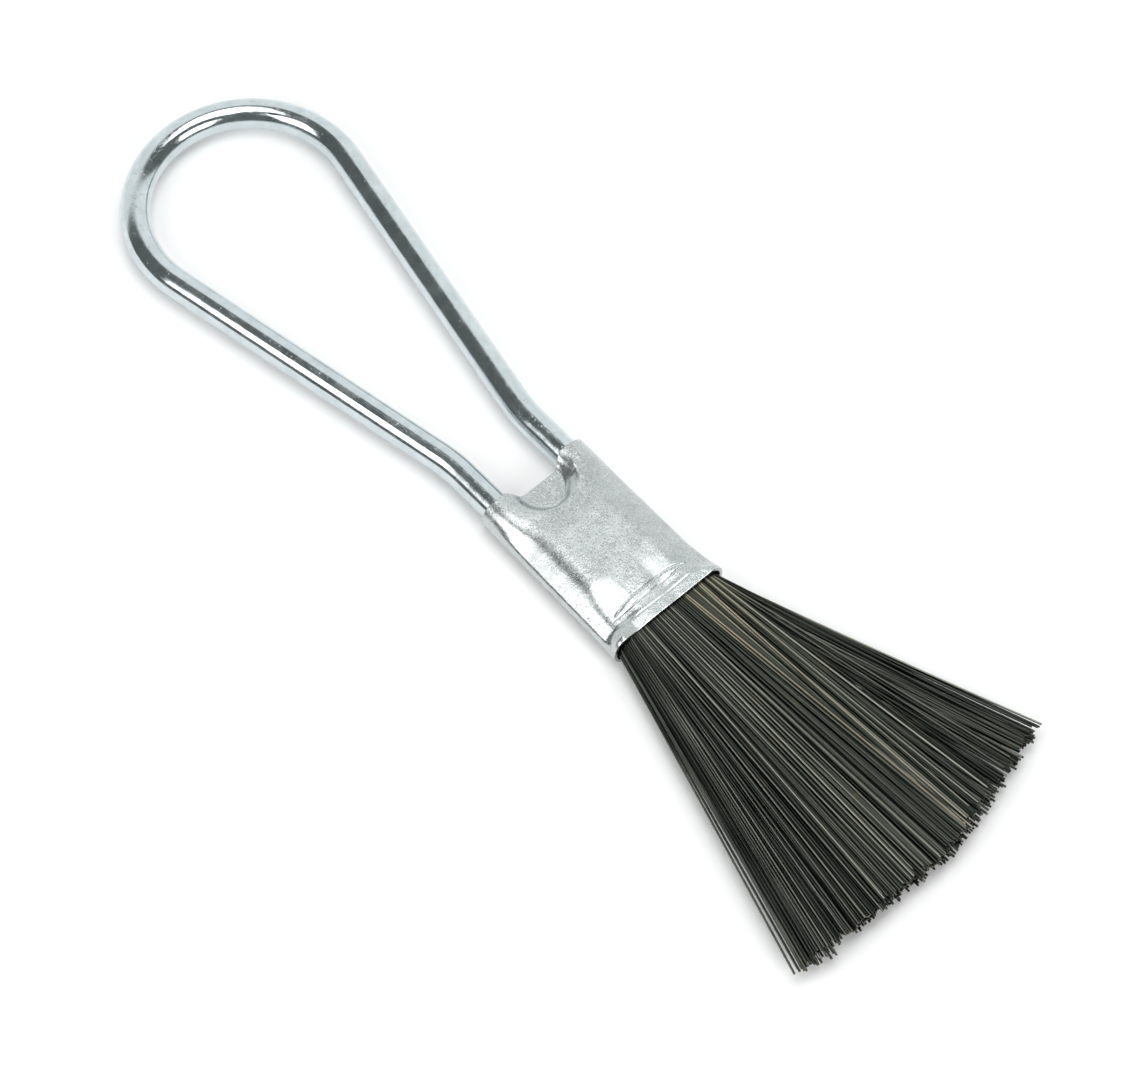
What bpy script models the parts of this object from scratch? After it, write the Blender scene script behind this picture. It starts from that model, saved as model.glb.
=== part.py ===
"""A loop-handled wire scratch brush.

One round rod is bent into a teardrop loop, and its two legs run into a pressed sheet ferrule. The ferrule is pinched
between the legs, crimped across near its mouth, and holds a flat fan of steel wires. The wires are grouped into tufts
that stand side by side. The clamped end of each tuft is fixed in the ferrule, and its free end flexes about a line
just outside the mouth.

The brush is laid out with X = 0 at the ferrule's mouth, +X towards the wire tips, Z up, and Z = 0 on the table. At the
end it is moved so that the origin is under the middle of its bounding box.
"""

import math

import bmesh
import bpy
from mathutils import Vector

MM = 0.001

# Handle rod: centreline radius of the loop, where its centre is, and the slope of the legs that leave it.
ROD_RADIUS = 2.8 * MM
ROD_SIDES = 16
LOOP_RADIUS = 20.95 * MM
LOOP_CENTRE_X = -114.8 * MM
LEG_SLOPE = math.radians(11.0)
LEG_BEND_RADIUS = 32.0 * MM
LEG_END_X = -26.0 * MM
LOOP_STEPS = 26
BEND_STEPS = 4

# Ferrule: a flattened tube of sheet. Each side is a round channel over one leg, with a flatter panel between them.
FERRULE_LENGTH = 36.2 * MM
SHEET = 0.65 * MM
CHANNEL_RADIUS = 3.75 * MM
CHANNEL_OFFSET = 8.35 * MM
CHANNEL_BORE_RADIUS = 3.02 * MM
CREST_FLAT = 0.5 * MM
MOUTH_SPREAD = 0.8 * MM
WEB_HEIGHT = 0.75 * MM
PANEL_HEIGHT = 3.35 * MM
CRIMP_HEIGHT = 2.95 * MM
POCKET_START_X = -26.9 * MM
NOTCH_DEPTH = 1.9 * MM
NOTCH_WIDTH = 7.8 * MM
SIDE_STEPS = 8
MIDPLANE_Z = CHANNEL_RADIUS

# Half thickness of the space between the channels, from the handle end to the mouth.
FACE_PROFILE = [
    (-FERRULE_LENGTH, WEB_HEIGHT),
    (-28.9 * MM, WEB_HEIGHT),
    (-27.6 * MM, PANEL_HEIGHT),
    (-10.0 * MM, PANEL_HEIGHT),
    (-7.4 * MM, PANEL_HEIGHT),
    (-6.2 * MM, CRIMP_HEIGHT),
    (-4.2 * MM, CRIMP_HEIGHT),
    (-2.8 * MM, CHANNEL_RADIUS),
    (0.0, CHANNEL_RADIUS),
]

# Wires: how many tufts stand side by side, how many layers each has, and how they spread.
TUFTS = 9
LAYERS = ("top", "middle", "bottom")
TUFT_GAP = 0.3 * MM
LAYER_GAP_MOUTH = 0.3 * MM
LAYER_GAP_TIP = 0.3 * MM
WIRE_LENGTH = 66.0 * MM
MOUTH_HALF_WIDTH = 11.0 * MM
OUTER_EDGE = {"top": 10.2 * MM, "middle": 11.7 * MM, "bottom": 10.2 * MM}
MOUTH_HALF_HEIGHT = 2.6 * MM
TIP_HALF_HEIGHT = 2.1 * MM
TIP_TRIM = 3.4 * MM
TIP_EXTRA = 1.4 * MM
LAYER_TIP_STEP = {"top": -0.3 * MM, "middle": 0.4 * MM, "bottom": 0.1 * MM}

# The flex line stands out of the mouth, so that the round end of a tuft clears the ferrule and its own root.
FLEX_OUT = 3.8 * MM
FLEX_RADIUS = 2.75 * MM
SOCKET_RADIUS = 3.05 * MM
ARC_STEPS = 5
# What a side loses when a tuft bends 25 degrees: 1 / cos(25 degrees) - 1, shared by the two sides, and a little more.
FLEX_SHARE = 0.06

# Clamped tuft ends: distance along the ferrule, half height, and half width at the faces and at the middle.
ROOT_STATIONS = [
    (-25.4 * MM, 2.3 * MM, 9.4 * MM, 10.8 * MM),
    (-7.6 * MM, 2.3 * MM, 9.4 * MM, 10.8 * MM),
    (-6.2 * MM, 2.0 * MM, 9.5 * MM, 10.9 * MM),
    (-4.2 * MM, 2.0 * MM, 9.7 * MM, 11.1 * MM),
    (-2.8 * MM, 2.6 * MM, 9.8 * MM, 11.3 * MM),
    (0.0, 2.6 * MM, 10.2 * MM, 11.7 * MM),
]
ROOT_MIDDLE_HALF = 0.85 * MM
ROOT_OVERRUN = 3.4 * MM


def clear_scene():
    for old in list(bpy.data.objects):
        bpy.data.objects.remove(old, do_unlink=True)


def make_material(name, color, roughness, metallic):
    material = bpy.data.materials.new(name)
    material.use_nodes = True
    shader = material.node_tree.nodes["Principled BSDF"]
    shader.inputs["Base Color"].default_value = (*color, 1.0)
    shader.inputs["Roughness"].default_value = roughness
    shader.inputs["Metallic"].default_value = metallic
    material.diffuse_color = (*color, 1.0)
    return material


def make_empty(name, parent=None, location=(0.0, 0.0, 0.0), turn=0.0):
    empty = bpy.data.objects.new(name, None)
    empty.empty_display_size = 0.01
    bpy.context.scene.collection.objects.link(empty)
    empty.parent = parent
    empty.location = location
    empty.rotation_euler = (0.0, 0.0, turn)
    return empty


def make_object(name, data, parent, material=None):
    thing = bpy.data.objects.new(name, data)
    bpy.context.scene.collection.objects.link(thing)
    thing.parent = parent
    if material:
        data.materials.append(material)
    return thing


def cap_in_strips(shape, loop, first):
    """Closes a ring that is alike above and below with strips from its upper to its lower points.

    first is the point in the middle of one side, where the upper and the lower half meet.
    """
    count = len(loop)
    for step in range(count // 2):
        upper = [loop[(first + step) % count], loop[(first + step + 1) % count]]
        lower = [loop[(first - step - 1) % count], loop[(first - step) % count]]
        corners = list(dict.fromkeys(upper + lower))
        shape.faces.new(corners)


def mesh_from_rings(name, rings, strip_from=None):
    """A closed solid lofted through rings of equal length, with a flat face or strips on each end."""
    mesh = bpy.data.meshes.new(name)
    shape = bmesh.new()
    loops = [[shape.verts.new(point) for point in ring] for ring in rings]
    count = len(loops[0])
    for first, second in zip(loops, loops[1:]):
        for i in range(count):
            j = (i + 1) % count
            shape.faces.new((first[i], first[j], second[j], second[i]))
    for loop in (loops[0], loops[-1]):
        if strip_from is None:
            shape.faces.new(loop)
        else:
            cap_in_strips(shape, loop, strip_from)
    bmesh.ops.recalc_face_normals(shape, faces=shape.faces)
    shape.to_mesh(mesh)
    shape.free()
    return mesh


def cut(target, cutter):
    """Takes the cutter's shape out of the target. The cutter stays in the scene as a hidden guide."""
    cutter.hide_render = True
    cutter.display_type = "WIRE"
    modifier = target.modifiers.new(cutter.name, "BOOLEAN")
    modifier.operation = "DIFFERENCE"
    modifier.solver = "EXACT"
    modifier.object = cutter


def smooth_round(thing, limit=35.0):
    thing.data.shade_smooth()
    thing.data.set_sharp_from_angle(angle=math.radians(limit))


# Handle rod


def leg_points():
    """The rod's centreline on the +Y side, from the far end of the loop to the end of the leg."""
    sweep = math.pi / 2 + LEG_SLOPE
    points = []
    for i in range(LOOP_STEPS // 2 + 1):
        angle = sweep * i / (LOOP_STEPS // 2)
        x = LOOP_CENTRE_X - LOOP_RADIUS * math.cos(angle)
        points.append((x, LOOP_RADIUS * math.sin(angle)))
    x, y = points[-1]
    drop = y - CHANNEL_OFFSET - LEG_BEND_RADIUS * (1 - math.cos(LEG_SLOPE))
    x += drop / math.tan(LEG_SLOPE)
    bend_end_x = x + LEG_BEND_RADIUS * math.sin(LEG_SLOPE)
    for i in range(BEND_STEPS + 1):
        angle = LEG_SLOPE * (1 - i / BEND_STEPS)
        x = bend_end_x - LEG_BEND_RADIUS * math.sin(angle)
        points.append((x, CHANNEL_OFFSET + LEG_BEND_RADIUS * (1 - math.cos(angle))))
    points.append((LEG_END_X, CHANNEL_OFFSET))
    return points


def build_handle(frame, material):
    upper = leg_points()
    route = upper[::-1] + [(x, -y) for x, y in upper[1:]]
    data = bpy.data.curves.new("handle_loop", "CURVE")
    data.dimensions = "3D"
    data.twist_mode = "Z_UP"
    data.bevel_depth = ROD_RADIUS
    data.bevel_resolution = (ROD_SIDES - 4) // 2
    data.use_fill_caps = True
    spline = data.splines.new("POLY")
    spline.points.add(len(route) - 1)
    for point, (x, y) in zip(spline.points, route):
        point.co = (x, y, MIDPLANE_Z, 1.0)
    spline.use_smooth = True
    return make_object("handle_loop", data, frame, material)


# Ferrule


def spread_at(x):
    """How far each channel stands out from its place over the leg: the mouth is pressed a little wider."""
    start = FACE_PROFILE[3][0]
    share = min(max((x - start) / -start, 0.0), 1.0)
    return MOUTH_SPREAD * share


def section(x, face_height, inset):
    """One ring of the ferrule, from the middle of the +Y side over the top to the -Y side and back underneath."""
    centre = CHANNEL_OFFSET + spread_at(x)
    radius = CHANNEL_RADIUS - inset
    side = []
    for i in range(SIDE_STEPS + 1):
        angle = math.pi * (i / SIDE_STEPS - 0.5)
        side.append((centre + radius * math.cos(angle), radius * math.sin(angle)))
    top = []
    inwards = [CREST_FLAT, 1.6 * MM, 2.6 * MM, 3.3 * MM, 3.7 * MM, centre - 2.0 * MM]
    for step in inwards:
        crest = CHANNEL_RADIUS if step <= CREST_FLAT else math.sqrt(max(CHANNEL_RADIUS**2 - step**2, 0.0))
        top.append((centre - step, max(crest, face_height) - inset))
    top.append((0.0, face_height - inset))
    top += [(-y, z) for y, z in reversed(top[:-1])]
    upper = side + top
    ring = upper + [(-y, -z) for y, z in upper]
    return [Vector((x, y, MIDPLANE_Z + z)) for y, z in ring]


def ferrule_shell():
    """The outside, turned in at the mouth and carried back as the pocket that the wires fill."""
    outside = [section(x, height, 0.0) for x, height in FACE_PROFILE]
    stations = [(x, height) for x, height in FACE_PROFILE if x > POCKET_START_X]
    pocket = [section(x, height, SHEET) for x, height in reversed(stations)]
    pocket.append(section(POCKET_START_X, PANEL_HEIGHT, SHEET))
    return mesh_from_rings("ferrule", outside + pocket, SIDE_STEPS // 2)


def build_channel_cutter(frame, side, name):
    """A bore along one channel, from outside the handle end into the pocket."""
    start = -FERRULE_LENGTH - 1.0 * MM
    end = POCKET_START_X + 0.9 * MM
    sides = 24
    rings = []
    for x in (start, end):
        ring = []
        for i in range(sides):
            angle = 2 * math.pi * i / sides
            y = side * CHANNEL_OFFSET + CHANNEL_BORE_RADIUS * math.cos(angle)
            ring.append(Vector((x, y, MIDPLANE_Z + CHANNEL_BORE_RADIUS * math.sin(angle))))
        rings.append(ring)
    return make_object(name, mesh_from_rings(name, rings), frame)


def build_notch_cutter(frame, name):
    """A round-cornered notch in the pinched web, between the two channels at the handle end."""
    corner = 1.6 * MM
    depth_x = -FERRULE_LENGTH + NOTCH_DEPTH
    half = NOTCH_WIDTH / 2
    outline = [(-FERRULE_LENGTH - 1.0 * MM, half)]
    steps = 4
    for i in range(steps + 1):
        angle = math.pi / 2 * (1 - i / steps)
        x = depth_x - corner + corner * math.cos(angle)
        outline.append((x, half - corner + corner * math.sin(angle)))
    outline += [(x, -y) for x, y in reversed(outline)]
    rings = []
    for z in (MIDPLANE_Z - 2 * WEB_HEIGHT, MIDPLANE_Z + 2 * WEB_HEIGHT):
        rings.append([Vector((x, y, z)) for x, y in outline])
    return make_object(name, mesh_from_rings(name, rings), frame)


def build_ferrule(frame, material):
    ferrule = make_object("ferrule", ferrule_shell(), frame, material)
    cut(ferrule, build_channel_cutter(frame, 1, "left_channel_cutter"))
    cut(ferrule, build_channel_cutter(frame, -1, "right_channel_cutter"))
    cut(ferrule, build_notch_cutter(frame, "notch_cutter"))
    smooth_round(ferrule)
    return ferrule


# Wires


def spread_angle(u):
    """The direction of a wire that leaves the mouth at u, from -1 at the -Y side to 1 at the +Y side."""
    return math.radians(1.0 + 10.0 * u + 1.0 * u**2 + 9.2 * u**3)


def share_across(index):
    """u at the side between two tufts. Tuft 1 lies between sides 0 and 1, at -Y."""
    return 2.0 * index / TUFTS - 1.0


def side_start(index, edge):
    """Where a tuft side crosses the mouth. edge is the half width at the outermost two sides."""
    u = share_across(index)
    if index in (0, TUFTS):
        return math.copysign(edge, u)
    return u * MOUTH_HALF_WIDTH


def tuft_frame(tuft):
    """The point where a tuft leaves the mouth, and its direction."""
    u = (share_across(tuft - 1) + share_across(tuft)) / 2
    return u * MOUTH_HALF_WIDTH, spread_angle(u)


def local_side(tuft, index, edge, out):
    """The place of a tuft side at distance out from the mouth, in the tuft's own direction frame."""
    start_y, turn = tuft_frame(tuft)
    offset = side_start(index, edge) - start_y
    lean = spread_angle(share_across(index)) - turn
    return offset * math.cos(turn) + (out - offset * math.sin(turn)) * math.tan(lean)


def tuft_half_gap(index, out):
    """Half of the space between two tufts. It widens outwards by as much as bending closes it."""
    step = 1.0 / TUFTS
    u = share_across(index)
    spread = spread_angle(u + step) - spread_angle(u - step)
    return TUFT_GAP / 2 + FLEX_SHARE * spread * max(out - FLEX_OUT, 0.0)


def layer_limits(layer, half_height, gap):
    """The lowest and highest half-height of one layer, measured from the mid-plane."""
    order = LAYERS[::-1].index(layer)
    thickness = (2 * half_height - gap * (len(LAYERS) - 1)) / len(LAYERS)
    low = -half_height + order * (thickness + gap)
    return low, low + thickness


def tuft_profile(tuft, layer):
    """The outline of one layer seen from the side: a round root end, two faces and a tip, shortest at +Y."""
    low, high = layer_limits(layer, MOUTH_HALF_HEIGHT, LAYER_GAP_MOUTH)
    tip_low, tip_high = layer_limits(layer, TIP_HALF_HEIGHT, LAYER_GAP_TIP)
    outline = []
    for i in range(ARC_STEPS + 1):
        z = high + (low - high) * i / ARC_STEPS
        outline.append((FLEX_OUT - math.sqrt(FLEX_RADIUS**2 - z**2), z))
    u = (share_across(tuft - 1) + share_across(tuft)) / 2
    trim = TIP_TRIM * max(u, 0.0) ** 2 - TIP_EXTRA * max(-u, 0.0) ** 3
    tip = WIRE_LENGTH - trim + LAYER_TIP_STEP[layer]
    outline.append((tip, tip_low))
    outline.append((tip, tip_high))
    return outline


def tuft_mesh(name, tuft, layer):
    """One layer of a tuft, about the flex line: two flat sides that widen outwards, joined all round the outline."""
    rings = []
    for index, inwards in ((tuft - 1, 1), (tuft, -1)):
        edge = OUTER_EDGE[layer]
        ring = []
        for out, z in tuft_profile(tuft, layer):
            y = local_side(tuft, index, edge, out) + inwards * tuft_half_gap(index, out)
            ring.append(Vector((out - FLEX_OUT, y, z)))
        rings.append(ring)
    return mesh_from_rings(name, rings)


def build_tuft(frame, tuft, material):
    """The free ends of one tuft, which swing together about the flex line just outside the mouth."""
    start_y, turn = tuft_frame(tuft)
    x = FLEX_OUT * math.cos(turn)
    y = start_y + FLEX_OUT * math.sin(turn)
    flex = make_empty(f"tuft_{tuft}_flex", frame, (x, y, MIDPLANE_Z), turn)
    for layer in LAYERS:
        name = f"tuft_{tuft}_{layer}"
        make_object(name, tuft_mesh(name, tuft, layer), flex, material)
    return flex


def root_side(tuft, index, edges):
    """Half widths at one station of a root, at the faces and at the middle, on one of its sides."""
    inwards = TUFT_GAP / 2 if index == tuft - 1 else -TUFT_GAP / 2
    face_edge, middle_edge = edges
    u = share_across(index)
    if index in (0, TUFTS):
        return [math.copysign(edge, u) + inwards for edge in (face_edge, middle_edge)]
    share = u * MOUTH_HALF_WIDTH / ROOT_STATIONS[-1][2]
    return [face_edge * share + inwards] * 2


def root_ring(x, half_height, edges, tuft):
    low_face, low_middle = root_side(tuft, tuft - 1, edges)
    high_face, high_middle = root_side(tuft, tuft, edges)
    outline = [
        (high_face, -half_height),
        (high_middle, -ROOT_MIDDLE_HALF),
        (high_middle, ROOT_MIDDLE_HALF),
        (high_face, half_height),
        (low_face, half_height),
        (low_middle, ROOT_MIDDLE_HALF),
        (low_middle, -ROOT_MIDDLE_HALF),
        (low_face, -half_height),
    ]
    return [Vector((x, y, MIDPLANE_Z + z)) for y, z in outline]


def root_mesh(name, tuft):
    """The clamped end of a tuft: from just beyond the rod legs, thin under the crimp, and full width at the mouth."""
    rings = [root_ring(x, height, (face, middle), tuft) for x, height, face, middle in ROOT_STATIONS]
    overrun = []
    for index, point in enumerate(rings[-1]):
        side = tuft if index < len(rings[-1]) / 2 else tuft - 1
        drift = ROOT_OVERRUN * math.tan(spread_angle(share_across(side)))
        overrun.append(point + Vector((ROOT_OVERRUN, drift, 0.0)))
    return mesh_from_rings(name, rings + [overrun])


def build_socket_cutter(flex, tuft):
    """A round bar along the flex line that hollows the end of the root, so that the tuft turns clear of it."""
    name = f"tuft_{tuft}_socket_cutter"
    sides = 32
    half_width = 4.0 * MM
    rings = []
    for y in (-half_width, half_width):
        ring = []
        for i in range(sides):
            angle = 2 * math.pi * (i + 0.5) / sides
            ring.append(Vector((SOCKET_RADIUS * math.sin(angle), y, SOCKET_RADIUS * math.cos(angle))))
        rings.append(ring)
    return make_object(name, mesh_from_rings(name, rings), flex)


def build_root(frame, flex, tuft, material):
    name = f"tuft_{tuft}_root"
    root = make_object(name, root_mesh(name, tuft), frame, material)
    cut(root, build_socket_cutter(flex, tuft))
    return root


def stand_on_origin(frame):
    """Moves the whole brush so that the origin is under the middle of its bounding box."""
    bpy.context.view_layer.update()
    graph = bpy.context.evaluated_depsgraph_get()
    corners = []
    for thing in bpy.context.scene.objects:
        if thing.type in {"MESH", "CURVE"} and not thing.hide_render:
            shown = thing.evaluated_get(graph)
            mesh = shown.to_mesh()
            corners += [shown.matrix_world @ vertex.co for vertex in mesh.vertices]
            shown.to_mesh_clear()
    low = [min(corner[axis] for corner in corners) for axis in range(3)]
    high = [max(corner[axis] for corner in corners) for axis in range(3)]
    frame.location = (-(low[0] + high[0]) / 2, -(low[1] + high[1]) / 2, -low[2])


def main():
    clear_scene()
    frame = make_empty("brush_frame")
    build_handle(frame, make_material("zinc_plated_rod", (0.72, 0.75, 0.77), 0.22, 1.0))
    build_ferrule(frame, make_material("galvanised_sheet", (0.60, 0.62, 0.63), 0.42, 1.0))
    wire = make_material("oiled_steel_wire", (0.13, 0.13, 0.115), 0.40, 0.9)
    for tuft in range(1, TUFTS + 1):
        flex = build_tuft(frame, tuft, wire)
        build_root(frame, flex, tuft, wire)
    stand_on_origin(frame)


main()
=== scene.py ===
"""The looks of the loop-handled wire brush: a bright rod, a pressed sheet ferrule and hundreds of wires.

Every place is worked out from the boxes of the parts in the frame. "Brush coordinates" below are millimetres
from the middle of the ferrule's mouth: x towards the wire tips, y across the fan, z up from the mid-plane.
"""

import math

import bpy
import numpy as np
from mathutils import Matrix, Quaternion, Vector


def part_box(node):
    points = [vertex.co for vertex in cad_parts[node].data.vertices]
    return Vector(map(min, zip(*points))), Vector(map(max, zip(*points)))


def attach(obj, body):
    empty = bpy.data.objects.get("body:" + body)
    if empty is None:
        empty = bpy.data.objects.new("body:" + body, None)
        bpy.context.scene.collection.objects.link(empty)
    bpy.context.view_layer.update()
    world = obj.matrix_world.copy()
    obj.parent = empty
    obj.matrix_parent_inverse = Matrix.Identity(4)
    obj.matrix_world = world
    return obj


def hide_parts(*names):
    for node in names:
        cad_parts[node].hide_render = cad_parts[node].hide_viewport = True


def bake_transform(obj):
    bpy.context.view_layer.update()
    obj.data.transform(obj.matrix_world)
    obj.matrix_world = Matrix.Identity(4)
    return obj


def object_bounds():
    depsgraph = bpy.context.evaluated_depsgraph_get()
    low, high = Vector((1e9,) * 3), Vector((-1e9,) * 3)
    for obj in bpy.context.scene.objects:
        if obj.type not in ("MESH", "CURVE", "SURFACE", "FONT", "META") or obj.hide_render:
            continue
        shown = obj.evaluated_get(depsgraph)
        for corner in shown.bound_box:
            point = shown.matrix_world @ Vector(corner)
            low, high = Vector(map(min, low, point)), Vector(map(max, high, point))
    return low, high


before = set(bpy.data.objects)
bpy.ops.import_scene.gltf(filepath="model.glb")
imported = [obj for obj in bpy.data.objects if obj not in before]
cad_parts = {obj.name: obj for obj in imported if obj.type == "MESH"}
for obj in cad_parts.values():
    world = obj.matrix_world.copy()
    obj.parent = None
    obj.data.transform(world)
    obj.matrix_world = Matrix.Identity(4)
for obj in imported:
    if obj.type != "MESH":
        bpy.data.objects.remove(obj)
cad_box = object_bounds()

MM = 0.001
SEED = 20

# The ferrule's box gives the origin of the brush coordinates and most of the sizes.
FERRULE_LOW, FERRULE_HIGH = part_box("ferrule")
MOUTH = Vector((FERRULE_HIGH.x, (FERRULE_LOW.y + FERRULE_HIGH.y) / 2, (FERRULE_LOW.z + FERRULE_HIGH.z) / 2))
FERRULE_LENGTH = (FERRULE_HIGH.x - FERRULE_LOW.x) / MM
LIP_HEIGHT = (FERRULE_HIGH.z - FERRULE_LOW.z) / 2 / MM
MOUTH_HALF_WIDTH = (FERRULE_HIGH.y - FERRULE_LOW.y) / 2 / MM
MOUTH_SPREAD = 0.8
SIDE_Y = MOUTH_HALF_WIDTH - MOUTH_SPREAD
LEG_Y = SIDE_Y - LIP_HEIGHT
SHEET = 0.65
LIP_CREST_DROP = 0.12
DIMPLE_END_X = -26.5

# The rod, from the handle's box.
HANDLE_LOW, HANDLE_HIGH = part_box("handle_loop")
ROD_RADIUS = (HANDLE_HIGH.z - HANDLE_LOW.z) / 2 / MM
LOOP_RADIUS = (HANDLE_HIGH.y - HANDLE_LOW.y) / 2 / MM - ROD_RADIUS
LOOP_CENTRE_X = (HANDLE_LOW.x - MOUTH.x) / MM + ROD_RADIUS + LOOP_RADIUS
LEG_SLOPE = math.radians(11.0)
LEG_BEND_RADIUS = 32.0
LEG_END_X = -26.5

# The wires: their size, the bundles of the frame, and the locks they lie in.
WIRE_RADIUS = 0.21
TIP_HALF_HEIGHT = 1.7
TUFTS = 9
LAYERS = ("top", "middle", "bottom")
LOCKS_ACROSS, LOCKS_DEEP = 24, 5


def smoothstep(low, high, value):
    share = np.clip((value - low) / (high - low), 0.0, 1.0)
    return share * share * (3 - 2 * share)


def mix(first, second, share):
    return first + (second - first) * share


def mesh_object(name, points, faces, material, face_materials=None):
    """A smooth mesh of points in brush coordinates, put where the frame says."""
    mesh = bpy.data.meshes.new(name)
    placed = np.asarray(points) * MM + np.array(MOUTH)
    mesh.from_pydata(placed.tolist(), [], faces)
    for each in material if isinstance(material, list) else [material]:
        mesh.materials.append(each)
    if face_materials is not None:
        mesh.polygons.foreach_set("material_index", face_materials)
    mesh.shade_smooth()
    mesh.set_sharp_from_angle(angle=math.radians(70))
    mesh.update()
    thing = bpy.data.objects.new(name, mesh)
    bpy.context.scene.collection.objects.link(thing)
    return thing


def tube_faces(rings, sides, first=0):
    """Quads between rings of points, and a cap on each end."""
    faces = []
    for ring in range(rings - 1):
        for side in range(sides):
            a = first + ring * sides + side
            b = first + ring * sides + (side + 1) % sides
            faces.append((a, b, b + sides, a + sides))
    last = first + (rings - 1) * sides
    faces.append(tuple(first + side for side in reversed(range(sides))))
    faces.append(tuple(last + side for side in range(sides)))
    return faces


# Materials


class Nodes:
    """A short way to build one material's node tree."""

    def __init__(self, name):
        self.material = bpy.data.materials.new(name)
        self.material.use_nodes = True
        self.tree = self.material.node_tree
        self.shader = self.tree.nodes["Principled BSDF"]
        self.coords = self.add("ShaderNodeTexCoord").outputs["Object"]

    def add(self, kind, **settings):
        node = self.tree.nodes.new(kind)
        for name, value in settings.items():
            setattr(node, name, value)
        return node

    def link(self, start, end):
        self.tree.links.new(start, end)

    def noise(self, scale, detail=3.0, roughness=0.55, stretch=None):
        node = self.add("ShaderNodeTexNoise")
        node.inputs["Scale"].default_value = scale
        node.inputs["Detail"].default_value = detail
        node.inputs["Roughness"].default_value = roughness
        self.link(self.stretched(stretch), node.inputs["Vector"])
        return node.outputs["Fac"]

    def cells(self, scale):
        """A random colour for each cell."""
        node = self.add("ShaderNodeTexVoronoi")
        node.inputs["Scale"].default_value = scale
        self.link(self.coords, node.inputs["Vector"])
        return node.outputs["Color"]

    def stretched(self, stretch):
        if stretch is None:
            return self.coords
        node = self.add("ShaderNodeMapping")
        node.inputs["Scale"].default_value = stretch
        self.link(self.coords, node.inputs["Vector"])
        return node.outputs["Vector"]

    def ramp(self, source, stops):
        node = self.add("ShaderNodeValToRGB")
        ramp = node.color_ramp
        while len(ramp.elements) < len(stops):
            ramp.elements.new(0.5)
        for element, (place, color) in zip(ramp.elements, stops):
            element.position = place
            element.color = (*color, 1.0)
        self.link(source, node.inputs["Fac"])
        return node.outputs["Color"]

    def grey(self, source, *stops):
        return self.ramp(source, [(place, (value, value, value)) for place, value in stops])

    def rise(self, source, low, high):
        """0 below low, 1 above high and smooth between."""
        node = self.add("ShaderNodeMapRange", interpolation_type="SMOOTHSTEP")
        node.inputs["From Min"].default_value = low
        node.inputs["From Max"].default_value = high
        self.link(source, node.inputs["Value"])
        return node.outputs["Result"]

    def math(self, operation, first, second):
        node = self.add("ShaderNodeMath", operation=operation)
        for socket, value in zip(node.inputs, (first, second)):
            if isinstance(value, (int, float)):
                socket.default_value = value
            else:
                self.link(value, socket)
        return node.outputs["Value"]

    def blend_colors(self, share, first, second, kind="MIX"):
        node = self.add("ShaderNodeMix", data_type="RGBA", blend_type=kind)
        sockets = (node.inputs[0], node.inputs[6], node.inputs[7])
        for socket, value in zip(sockets, (share, first, second)):
            if isinstance(value, (int, float)):
                socket.default_value = value
            elif isinstance(value, tuple):
                socket.default_value = (*value, 1.0)
            else:
                self.link(value, socket)
        return node.outputs[2]

    def bump(self, heights):
        """heights is a list of (source, strength, distance), from the coarsest to the finest."""
        normal = None
        for source, strength, distance in heights:
            node = self.add("ShaderNodeBump")
            node.inputs["Strength"].default_value = strength
            node.inputs["Distance"].default_value = distance
            self.link(source, node.inputs["Height"])
            if normal is not None:
                self.link(normal, node.inputs["Normal"])
            normal = node.outputs["Normal"]
        self.link(normal, self.shader.inputs["Normal"])

    def finish(self, color, roughness, metallic=1.0):
        self.shader.inputs["Metallic"].default_value = metallic
        self.link(color, self.shader.inputs["Base Color"])
        self.link(roughness, self.shader.inputs["Roughness"])
        return self.material


def zinc_rod_material():
    """Bright zinc plate on drawn rod: almost a mirror, faintly blue, with fine pits and dull patches."""
    n = Nodes("bright_zinc_rod")
    patches = n.noise(300.0, 5.0, 0.6)
    grain = n.noise(4200.0, 3.0, 0.6)
    pits = n.grey(n.noise(1900.0, 2.0, 0.5), (0.25, 0.0), (0.36, 1.0))
    tint = n.ramp(patches, [(0.35, (0.60, 0.665, 0.69)), (0.65, (0.70, 0.765, 0.79))])
    color = n.blend_colors(0.5, tint, n.grey(pits, (0.0, 0.6), (1.0, 1.0)), "MULTIPLY")
    color = n.blend_colors(0.5, color, n.grey(grain, (0.35, 0.85), (0.65, 1.0)), "MULTIPLY")
    dullness = n.math("ADD", n.math("MULTIPLY", patches, 0.6), n.math("MULTIPLY", grain, 0.4))
    roughness = n.grey(dullness, (0.38, 0.07), (0.62, 0.2))
    n.bump([(patches, 0.10, 0.0002), (pits, 0.25, 0.00005), (grain, 0.12, 0.00004)])
    return n.finish(color, roughness)


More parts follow.
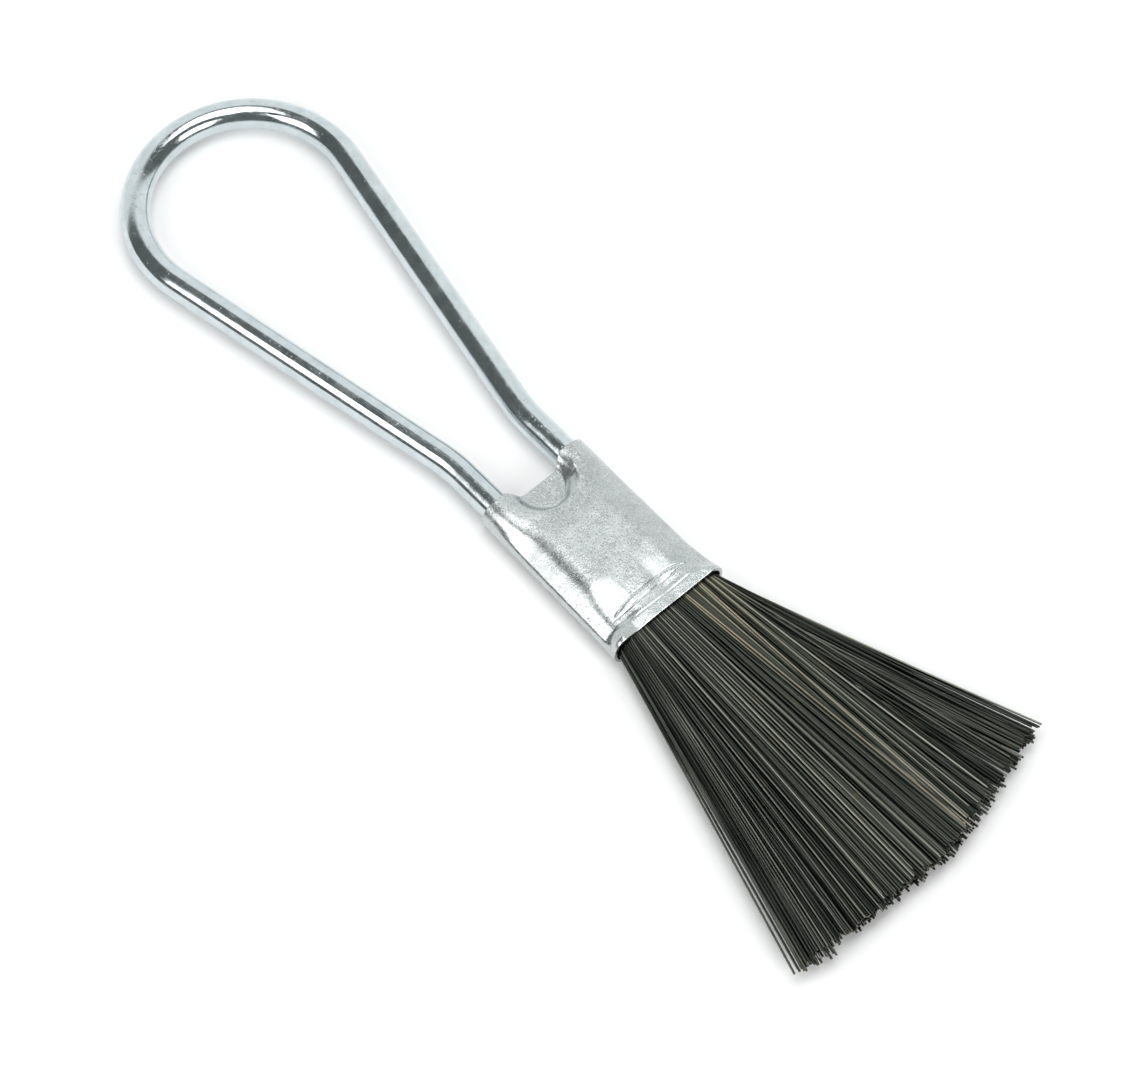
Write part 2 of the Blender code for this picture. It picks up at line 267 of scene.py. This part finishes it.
def galvanised_material():
    """Dull galvanised sheet: a fine blue-grey mottle, zinc crystals, dark pinholes and rubbed places."""
    n = Nodes("galvanised_sheet")
    spangle = n.grey(n.cells(1000.0), (0.0, 0.90), (1.0, 1.0))
    grain = n.noise(3200.0, 4.0, 0.7)
    broad = n.noise(260.0, 4.0, 0.6)
    pinholes = n.grey(n.noise(2300.0, 1.0, 0.4), (0.22, 0.5), (0.31, 1.0))
    base = n.ramp(
        grain,
        [
            (0.32, (0.46, 0.50, 0.50)),
            (0.50, (0.60, 0.635, 0.635)),
            (0.70, (0.74, 0.77, 0.765)),
        ],
    )
    color = n.blend_colors(1.0, base, spangle, "MULTIPLY")
    color = n.blend_colors(0.7, color, pinholes, "MULTIPLY")
    color = n.blend_colors(0.5, color, n.grey(broad, (0.35, 0.78), (0.65, 1.0)), "MULTIPLY")
    dullness = n.math("ADD", n.math("MULTIPLY", grain, 0.5), n.math("MULTIPLY", broad, 0.5))
    roughness = n.grey(dullness, (0.35, 0.20), (0.65, 0.32))
    n.bump([(broad, 0.25, 0.0003), (grain, 0.28, 0.00006), (pinholes, 0.3, 0.00004)])
    return n.finish(color, roughness)


def wire_material():
    """Oiled drawn steel: nearly black, each wire a little different, some lighter and some faintly rusty,
    with a painted highlight near the mouth towards the +Y side.
    """
    n = Nodes("oiled_steel_wire")
    island = n.add("ShaderNodeNewGeometry").outputs["Random Per Island"]
    along = n.noise(260.0, 3.0, stretch=(0.12, 1.0, 1.0))
    tone = n.ramp(
        island,
        [
            (0.00, (0.022, 0.026, 0.021)),
            (0.45, (0.052, 0.060, 0.050)),
            (0.75, (0.115, 0.123, 0.103)),
            (0.92, (0.25, 0.255, 0.215)),
            (1.00, (0.24, 0.205, 0.15)),
        ],
    )
    color = n.blend_colors(0.8, tone, n.grey(along, (0.3, 0.55), (0.7, 1.25)), "MULTIPLY")
    rust_place = n.grey(n.noise(140.0, 4.0, 0.7), (0.60, 0.0), (0.76, 0.4))
    color = n.blend_colors(rust_place, color, (0.17, 0.12, 0.07))
    # Painted highlight: near the mouth, towards the +Y side, some wires are painted lighter and slightly
    # yellow where they catch the light.
    place = n.add("ShaderNodeSeparateXYZ")
    n.link(n.coords, place.inputs[0])
    across = n.rise(place.outputs["Y"], MOUTH.y + 1 * MM, MOUTH.y + 5 * MM)
    across = n.math("SUBTRACT", across, n.rise(place.outputs["Y"], MOUTH.y + 9 * MM, MOUTH.y + 13 * MM))
    near = n.math("SUBTRACT", 1.0, n.rise(place.outputs["X"], MOUTH.x + 2 * MM, MOUTH.x + 26 * MM))
    painted_mouth_highlight = n.math("MULTIPLY", n.math("MULTIPLY", across, near), n.grey(island, (0.5, 0.06), (0.66, 0.7)))
    color = n.blend_colors(painted_mouth_highlight, color, (0.28, 0.26, 0.185))
    roughness = n.grey(along, (0.3, 0.26), (0.7, 0.42))
    n.bump([(along, 0.10, 0.0001)])
    return n.finish(color, roughness, 1.0)


def cut_end_material():
    """The sheared ends of the wires: uncoated, lighter steel."""
    n = Nodes("cut_wire_end")
    grain = n.noise(2500.0, 2.0)
    color = n.ramp(
        grain,
        [
            (0.35, (0.10, 0.075, 0.055)),
            (0.55, (0.20, 0.18, 0.155)),
            (0.70, (0.42, 0.40, 0.37)),
        ],
    )
    return n.finish(color, n.grey(grain, (0.3, 0.35), (0.7, 0.55)), 0.9)


def floor_material():
    n = Nodes("pale_floor")
    grain = n.noise(60.0, 2.0)
    color = n.ramp(grain, [(0.0, (0.95, 0.95, 0.95)), (1.0, (0.97, 0.97, 0.97))])
    n.shader.inputs["Emission Color"].default_value = (1.0, 1.0, 1.0, 1.0)
    n.shader.inputs["Emission Strength"].default_value = 0.06
    return n.finish(color, n.grey(grain, (0.0, 0.75), (1.0, 0.8)), 0.0)


# Handle rod


def leg_route():
    """The centreline of one side, from the far end of the loop to the end of the leg inside the ferrule."""
    points = []
    sweep = math.pi / 2 + LEG_SLOPE
    for angle in np.linspace(0.0, sweep, 73):
        points.append((LOOP_CENTRE_X - LOOP_RADIUS * math.cos(angle), LOOP_RADIUS * math.sin(angle)))
    x, y = points[-1]
    drop = y - LEG_Y - LEG_BEND_RADIUS * (1 - math.cos(LEG_SLOPE))
    run = drop / math.tan(LEG_SLOPE)
    points += [(x + run * i / 24, y - drop * i / 24) for i in range(1, 24)]
    bend_end_x = x + run + LEG_BEND_RADIUS * math.sin(LEG_SLOPE)
    for angle in np.linspace(LEG_SLOPE, 0.0, 13):
        bend_x = bend_end_x - LEG_BEND_RADIUS * math.sin(angle)
        points.append((bend_x, LEG_Y + LEG_BEND_RADIUS * (1 - math.cos(angle))))
    points += [(mix(bend_end_x, LEG_END_X, i / 10), LEG_Y) for i in range(1, 11)]
    return points


def build_rod(material):
    """The bent rod, with a chamfer on each sheared end."""
    sides, chamfered = 48, 0.8
    upper = leg_route()
    route = np.array(upper[::-1] + [(x, -y) for x, y in upper[1:]])
    steps = np.gradient(route, axis=0)
    steps /= np.linalg.norm(steps, axis=1)[:, None]
    angles = np.linspace(0.0, 2 * math.pi, sides, endpoint=False)
    rings = []
    for (x, y), (dx, dy) in zip(route, steps):
        across = ROD_RADIUS * np.cos(angles)
        up = ROD_RADIUS * np.sin(angles)
        rings.append(np.stack([x - dy * across, y + dx * across, up], axis=1))
    for end in (0, -1):
        centre = rings[end].mean(axis=0)
        rings[end] = centre + (rings[end] - centre) * chamfered
    rod = mesh_object("handle_rod", np.concatenate(rings), tube_faces(len(route), sides), material)
    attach(rod, "brush_body")
    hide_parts("handle_loop")


# Ferrule


def spread_at(x, side):
    """How much wider the tube is at x. The -Y side opens all the way along, the +Y side only near the lip."""
    if side < 0:
        return MOUTH_SPREAD * np.clip((x + FERRULE_LENGTH) / FERRULE_LENGTH, 0, 1)
    return MOUTH_SPREAD * smoothstep(-9.0, 1.0, x)


def leg_profile(count, width, crest, radius):
    """Half of a flattened tube that is round over a leg, from the middle to the side: y, z."""
    flat = np.linspace(0.0, width - radius, count[0], endpoint=False)
    angles = np.linspace(0.0, math.pi / 2, count[1] + count[2])
    y = np.concatenate([flat, width - radius + radius * np.sin(angles)])
    z = np.concatenate([np.full(count[0], crest), crest * np.cos(angles)])
    return y, z


def pillow_profile(count, width, crest):
    """Half of the tube where nothing round fills it: it falls away from the panel to a narrow round side."""
    shoulder, edge_radius, edge_tilt = 5.0, 1.75, math.radians(38)
    fall_start, fall_full = 5.4, 10.9
    flat = np.linspace(0.0, shoulder, count[0], endpoint=False)
    slope_end = width - edge_radius + edge_radius * math.sin(edge_tilt)
    edge_height = edge_radius * math.cos(edge_tilt)
    y_slope = np.linspace(shoulder, slope_end, count[1] + 1)
    steepness = smoothstep(fall_start, fall_full, y_slope)
    fall = np.concatenate([[0.0], np.cumsum((steepness[1:] + steepness[:-1]) / 2)])
    fall, y_slope = (fall / fall[-1])[:-1], y_slope[:-1]
    angles = np.linspace(edge_tilt, math.pi / 2, count[2])
    y = np.concatenate([flat, y_slope, width - edge_radius + edge_radius * np.sin(angles)])
    z_slope = mix(crest, edge_height, fall)
    z = np.concatenate([np.full(count[0], crest), z_slope, edge_radius * np.cos(angles)])
    return y, z


def pinch(x, y):
    """0 on the floor of the D-shaped dimple between the legs, 1 on and beyond its rim."""
    centre_x = -34.4
    floor_length, floor_width = 5.5, 4.3
    rim_length, rim_width = 6.9, 7.7
    dx = x - centre_x
    waver = 0.015 * np.sin(y * 2.3 + 1)
    beyond_floor = np.clip(np.hypot(dx / floor_length, y / floor_width) + waver - 1, 0, None)
    inside_rim = np.clip(1 - np.hypot(dx / rim_length, y / rim_width), 0, None)
    share = beyond_floor / np.maximum(beyond_floor + inside_rim, 1e-6)
    return np.sin(share * math.pi / 2) ** 1.6


def wrinkles(x, y, face):
    """Sheet that crumpled beside the dimple when it was pinched. The upper face has it on the +Y side."""
    side = y * face
    total = 0.0
    for cx, cy, angle, length, width, lift in (
        (-32.3, 6.6, -0.55, 1.3, 0.36, 0.12),
        (-31.3, 5.6, -0.85, 1.3, 0.34, -0.12),
        (-33.6, 6.1, 0.05, 1.5, 0.32, 0.07),
        (-34.0, 5.1, 0.10, 1.5, 0.26, -0.07),
        (-30.3, 4.4, -0.80, 1.2, 0.32, 0.09),
        (-32.9, 7.6, 0.10, 1.3, 0.30, -0.05),
    ):
        dx, dy = x - cx, side - cy
        along = (dx * math.cos(angle) + dy * math.sin(angle)) / length
        over = (dy * math.cos(angle) - dx * math.sin(angle)) / width
        total = total + lift * np.exp(-(along**2) - over**2)
    return total


def bump(place, centre, width):
    return np.exp(-(((place - centre) / width) ** 2))


def crimp(x, y):
    """How far the panel is pressed down near the mouth, with the tool's two creases and a line at the lip."""
    reach = 1 - smoothstep(6.6, 10.4, np.abs(y))
    depth = mix(0.70, 0.08, smoothstep(-7.8, -3.7, y)) + 0.11 * bump(y, 2.2, 1.6)
    down = smoothstep(-12.5, -5.4, x)
    back_up = 0.5 * smoothstep(-3.3, -2.0, x)
    crease_ends = 1 - smoothstep(7.6, 9.0, np.abs(y + 0.4))
    bow = 1.25 * np.clip(np.abs(y + 0.6) / 8.3, 0, 1.3) ** 4
    broken = 0.6 + 0.4 * np.sin(y * 1.3 + 0.8)
    first_crease = 0.15 * bump(x, bow - 5.75, 0.17) * crease_ends
    second_crease = 0.12 * broken * bump(x, -4.35, 0.15) * crease_ends
    lip_line = 0.06 * bump(x, -2.15 - 0.0036 * (y - 2) ** 2, 0.16)
    return depth * (down - back_up) * reach + first_crease + second_crease + lip_line


def end_x(y):
    """Where the sheet ends at the handle: round the legs, and further in between them."""
    notch_depth = 1.9
    return -FERRULE_LENGTH + notch_depth * (1 - smoothstep(3.4, 6.9, np.abs(y)))


def ferrule_stations():
    """Places along the ferrule, closer together where the sheet is pinched or creased."""
    spans = [
        (-FERRULE_LENGTH, DIMPLE_END_X, 56),
        (DIMPLE_END_X, -13.0, 26),
        (-13.0, -6.6, 18),
        (-6.6, -1.7, 56),
        (-1.7, 0.0, 8),
    ]
    stations = []
    for start, end, count in spans:
        stations += list(np.linspace(start, end, count, endpoint=False))
    return np.array(stations + [0.0])


def half_ring(x, side):
    """The outside of the upper half of the tube at x, from the middle of the panel to one side: y, z."""
    count = (46, 26, 10)
    width = SIDE_Y + spread_at(x, side)
    # Round over the legs, a pillow beyond them and round again at the lip.
    pillow = smoothstep(-34.0, -24.0, x) * (1 - smoothstep(-3.4, -0.5, x))
    corner_radius = mix(3.6, 2.6, smoothstep(-8.0, -1.0, x))
    crest = mix(3.60, LIP_HEIGHT - 0.04, smoothstep(-30.0, -22.0, x))
    crest -= LIP_CREST_DROP * smoothstep(-9.0, -3.0, x)
    round_y, round_z = leg_profile(count, width, crest, corner_radius)
    flat_y, flat_z = pillow_profile(count, width, crest)
    return mix(round_y, flat_y, pillow) * side, mix(round_z, flat_z, pillow)


def build_ferrule(material):
    """The pressed sheet as one open tube with real thickness, so that the legs and wires sit inside it."""
    floor_height, pressed_above, pressed_within = 1.9, 0.5, 10.0
    rings = []
    for station in ferrule_stations():
        quarters = []
        for face, side in ((1, -1), (-1, -1), (-1, 1), (1, 1)):
            y, z = half_ring(station, side)
            share = (station + FERRULE_LENGTH) / (FERRULE_LENGTH + DIMPLE_END_X)
            x = np.where(station < DIMPLE_END_X, mix(end_x(y), DIMPLE_END_X, share), station)
            pressed = mix(floor_height, z, pinch(x, y)) - crimp(x, y)
            pressed += wrinkles(x, y, face) * (1 - smoothstep(7.0, 9.5, np.abs(y)))
            z = np.where((z > pressed_above) & (np.abs(y) < pressed_within), pressed, z)
            quarters.append(np.stack([x, y, face * z], axis=1))
        first, second, third, fourth = quarters
        rings.append(np.concatenate([first, second[::-1][1:], third[1:], fourth[::-1][1:-1]]))
    sides = len(rings[0])
    faces = tube_faces(len(rings), sides)[:-2]
    ferrule = mesh_object("pressed_ferrule", np.concatenate(rings), faces, material)
    shell = ferrule.modifiers.new("sheet", "SOLIDIFY")
    shell.thickness = SHEET * MM
    shell.offset = -1.0
    edge = ferrule.modifiers.new("sheared_edge", "BEVEL")
    edge.width = 0.1 * MM
    edge.segments = 2
    edge.limit_method = "ANGLE"
    edge.angle_limit = math.radians(55)
    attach(ferrule, "brush_body")
    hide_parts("ferrule")


# Wires


def flare(u):
    """Direction of a wire that leaves the mouth at u, from -1 at the -Y side to 1 at the +Y side."""
    return np.radians(1.0 + 10.0 * u + 1.0 * u**2 + 9.2 * u**3)


def wire_length(u):
    """How far a wire that leaves at u reaches: least at the +Y corner, a little further at the -Y one."""
    return 66.0 - 3.2 * smoothstep(0.1, 1.0, u) + 1.6 * smoothstep(0.5, 1.0, -u)


def wire_starts(random):
    """Places of the wires across the mouth, packed like round rods in a flat tube."""
    lip_clearance, side_reach, row_share = 0.35, 0.1, 0.87
    pitch = 2.02 * WIRE_RADIUS
    half_height = LIP_HEIGHT - lip_clearance - SHEET - 1.15 * WIRE_RADIUS
    rows = int(2 * half_height / (pitch * row_share)) + 1
    starts = []
    for row in range(rows):
        z = mix(-half_height, half_height, row / (rows - 1))
        round_end = math.sqrt(max(half_height**2 - z**2, 0.0))
        half_width = MOUTH_HALF_WIDTH + side_reach - LIP_HEIGHT + round_end
        count = int(2 * half_width / pitch)
        for i in range(count):
            y = (i + 0.5 * (row % 2)) * pitch - half_width + random.normal(0.0, 0.05) * pitch
            if abs(y) < half_width:
                starts.append((y, z + random.normal(0.0, 0.04) * pitch))
    return np.array(starts), half_height


def plan_wires(random):
    """Where each wire starts, which way it goes, how long it is and which bundle it belongs to."""
    starts, half_height = wire_starts(random)
    count = len(starts)
    half_width = np.abs(starts[:, 0]).max()
    u = starts[:, 0] / half_width
    level = starts[:, 1] / half_height
    # Wires lie in locks, which share a small turn and reach.
    lock_place = (u + 1) / 2 * LOCKS_ACROSS + random.normal(0, 0.3, count)
    lock = np.clip(lock_place.astype(int), 0, LOCKS_ACROSS - 1)
    depth = np.clip(((level + 1) / 2 * LOCKS_DEEP).astype(int), 0, LOCKS_DEEP - 1)
    lock_turn = random.normal(0.0, 0.008, (LOCKS_ACROSS, LOCKS_DEEP))
    lock_reach = random.normal(0.0, 0.45, (LOCKS_ACROSS, LOCKS_DEEP))
    steady = 1 - 0.7 * smoothstep(0.7, 1.0, np.abs(u))
    turn = flare(u) + steady * (lock_turn[lock, depth] + random.normal(0.0, 0.004, count))
    # On the +Y side the wires on top stay closer to the axis, and the ones under them spread further.
    upper = smoothstep(0.05, 0.5, level)
    side = smoothstep(0.25, 0.75, u)
    turn -= np.radians(8.0) * upper * side * (1 - smoothstep(0.84, 0.93, u))
    turn += np.radians(4.5) * (1 - upper) * smoothstep(0.3, 0.7, u) * (1 - smoothstep(0.75, 1.0, u))
    # The locks at the -Y corner part from their neighbours, but the outermost turn back.
    turn -= np.radians(0.9) * smoothstep(0.70, 0.73, -u)
    turn += np.radians(1.9) * smoothstep(0.74, 1.0, -u)
    unevenness = 1 + 0.8 * smoothstep(0.5, 0.9, -u)
    length = wire_length(u) + lock_reach[lock, depth] * unevenness + random.normal(0, 0.3, count)
    # A wire belongs to the tuft that its tip lies in.
    root_half_width, tip_reach = 11.0, 65.4
    shares = np.linspace(-1, 1, 81)
    tip_y = starts[:, 0] + length * np.sin(turn)
    edges_y = shares * root_half_width + tip_reach * np.sin(flare(shares))
    tuft_share = np.interp(tip_y, edges_y, shares)
    tuft = np.clip(((tuft_share + 1) / 2 * TUFTS).astype(int), 0, TUFTS - 1)
    layer = np.clip(((1 - level) / 2 * len(LAYERS)).astype(int), 0, len(LAYERS) - 1)
    tip_z = level * TIP_HALF_HEIGHT + random.normal(0.0, 0.12, count)
    limit = LIP_HEIGHT - 1.1 * WIRE_RADIUS
    return starts, turn, length, np.clip(tip_z, -limit, limit), tuft, layer


def build_wires(material, end_material):
    random = np.random.default_rng(SEED)
    starts, turn, length, tip_z, tuft, layer = plan_wires(random)
    sides = 6
    along = np.concatenate([np.linspace(-0.008, 0.45, 10, endpoint=False), np.linspace(0.45, 1.0, 7)])
    angles = np.linspace(0.0, 2 * math.pi, sides, endpoint=False)
    bundles = {}
    for wire in range(len(turn)):
        out = along * length[wire]
        free = np.clip(along, 0, None)
        sideways = random.normal(0.0, 0.16) * np.sin(np.pi * free)
        # The outermost wires leave the mouth a little straighter and bend outwards.
        sideways = sideways - 9.0 * abs(math.sin(turn[wire])) * turn[wire] * (free - free**2)
        c, s = math.cos(turn[wire]), math.sin(turn[wire])
        x = out * c - sideways * s
        y = starts[wire, 0] + out * s + sideways * c
        z = mix(starts[wire, 1], tip_z[wire], free**1.1)
        spin = random.uniform(0, 2 * math.pi)
        ring_y = WIRE_RADIUS * np.cos(angles + spin)
        ring_z = WIRE_RADIUS * np.sin(angles + spin)
        ring = [x[:, None] - s * ring_y, y[:, None] + c * ring_y, z[:, None] + ring_z]
        points = np.stack(np.broadcast_arrays(*ring), axis=2).reshape(-1, 3)
        bundles.setdefault((tuft[wire], layer[wire]), []).append(points)
    made = []
    per_wire = len(along) * sides
    for (number, level), wires in sorted(bundles.items()):
        faces, kinds = [], []
        for i in range(len(wires)):
            tube = tube_faces(len(along), sides, i * per_wire)
            faces += tube
            kinds += [0] * (len(tube) - 1) + [1]
        name = f"wires_{number + 1}_{LAYERS[level]}"
        bundle = mesh_object(name, np.concatenate(wires), faces, [material, end_material], kinds)
        made.append((bundle, number + 1, LAYERS[level]))
    return made


def ride_wires(made):
    """Hide the model's tuft parts that each bundle stands in for, and bake the bundle's placement into its
    mesh.
    """
    for bundle, number, layer in made:
        nodes = [f"tuft_{number}_{layer}"]
        if layer == "middle":
            nodes.append(f"tuft_{number}_root")
        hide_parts(*nodes)
        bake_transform(bundle)


# Surroundings


def build_floor(material):
    size, z = 1.2, cad_box[0].z
    mesh = bpy.data.meshes.new("floor")
    corners = [(-size, -size, z), (size, -size, z), (size, size, z), (-size, size, z)]
    mesh.from_pydata(corners, [], [(0, 1, 2, 3)])
    mesh.materials.append(material)
    floor = bpy.data.objects.new("floor", mesh)
    bpy.context.scene.collection.objects.link(floor)


def toward(azimuth, elevation):
    """A unit vector from angles in degrees, azimuth from +X towards +Y."""
    azimuth, elevation = math.radians(azimuth), math.radians(elevation)
    flat = math.cos(elevation)
    return Vector((flat * math.cos(azimuth), flat * math.sin(azimuth), math.sin(elevation)))


def look_at(thing, target):
    thing.rotation_mode = "QUATERNION"
    thing.rotation_quaternion = (Vector(target) - thing.location).to_track_quat("-Z", "Y")


def build_camera():
    """A long lens, above and in front of the -Y side, with the tips towards the lower right."""
    data = bpy.data.cameras.new("camera")
    data.sensor_width = 36.0
    data.lens = 157.5
    camera = bpy.data.objects.new("camera", data)
    bpy.context.scene.collection.objects.link(camera)
    target = MOUTH + Vector((-26.5, -1.5, -4.5)) * MM
    camera.location = target + toward(-41.84, 60.6) * 0.879
    look_at(camera, target)
    bpy.context.scene.camera = camera


def add_softbox(name, azimuth, elevation, distance, width, height, brightness, roll=0.0):
    """A soft box that faces the brush, at a distance in metres. Its places and sizes are in degrees."""
    data = bpy.data.lights.new(name, "AREA")
    data.shape = "RECTANGLE"
    data.size = 2 * distance * math.tan(math.radians(width / 2))
    data.size_y = 2 * distance * math.tan(math.radians(height / 2))
    data.energy = brightness * data.size * data.size_y * 4
    light = bpy.data.objects.new(name, data)
    bpy.context.scene.collection.objects.link(light)
    light.location = toward(azimuth, elevation) * distance
    look_at(light, (0.0, 0.0, 0.0))
    light.rotation_quaternion = light.rotation_quaternion @ Quaternion((0.0, 0.0, 1.0), math.radians(roll))


def build_light():
    """A dim room with one wide pale backdrop behind the brush, and three soft boxes."""
    world = bpy.data.worlds.new("studio")
    world.use_nodes = True
    bpy.context.scene.world = world
    tree = world.node_tree
    coords = tree.nodes.new("ShaderNodeTexCoord")
    facing = tree.nodes.new("ShaderNodeVectorMath")
    facing.operation = "DOT_PRODUCT"
    facing.inputs[1].default_value = toward(133.0, -23.0)
    ramp = tree.nodes.new("ShaderNodeMapRange")
    ramp.interpolation_type = "SMOOTHSTEP"
    ramp.inputs["From Min"].default_value = 0.07
    ramp.inputs["From Max"].default_value = 0.19
    blend = tree.nodes.new("ShaderNodeMix")
    blend.data_type = "RGBA"
    blend.inputs[6].default_value = (0.13, 0.14, 0.135, 1.0)
    blend.inputs[7].default_value = (0.98, 1.0, 1.0, 1.0)
    tree.links.new(coords.outputs["Generated"], facing.inputs[0])
    tree.links.new(facing.outputs["Value"], ramp.inputs["Value"])
    tree.links.new(ramp.outputs["Result"], blend.inputs[0])
    tree.links.new(blend.outputs[2], tree.nodes["Background"].inputs["Color"])
    add_softbox("overhead_box", 88.0, 87.0, 1.1, 31.0, 36.0, 3.1, roll=20.0)
    add_softbox("right_box", 7.0, 33.0, 1.1, 32.0, 30.0, 2.9)
    add_softbox("left_box", -98.0, 41.0, 0.65, 30.0, 33.0, 2.8)


build_camera()
build_light()
build_floor(floor_material())
build_rod(zinc_rod_material())
build_ferrule(galvanised_material())
ride_wires(build_wires(wire_material(), cut_end_material()))
bpy.context.scene.view_settings.view_transform = "Standard"
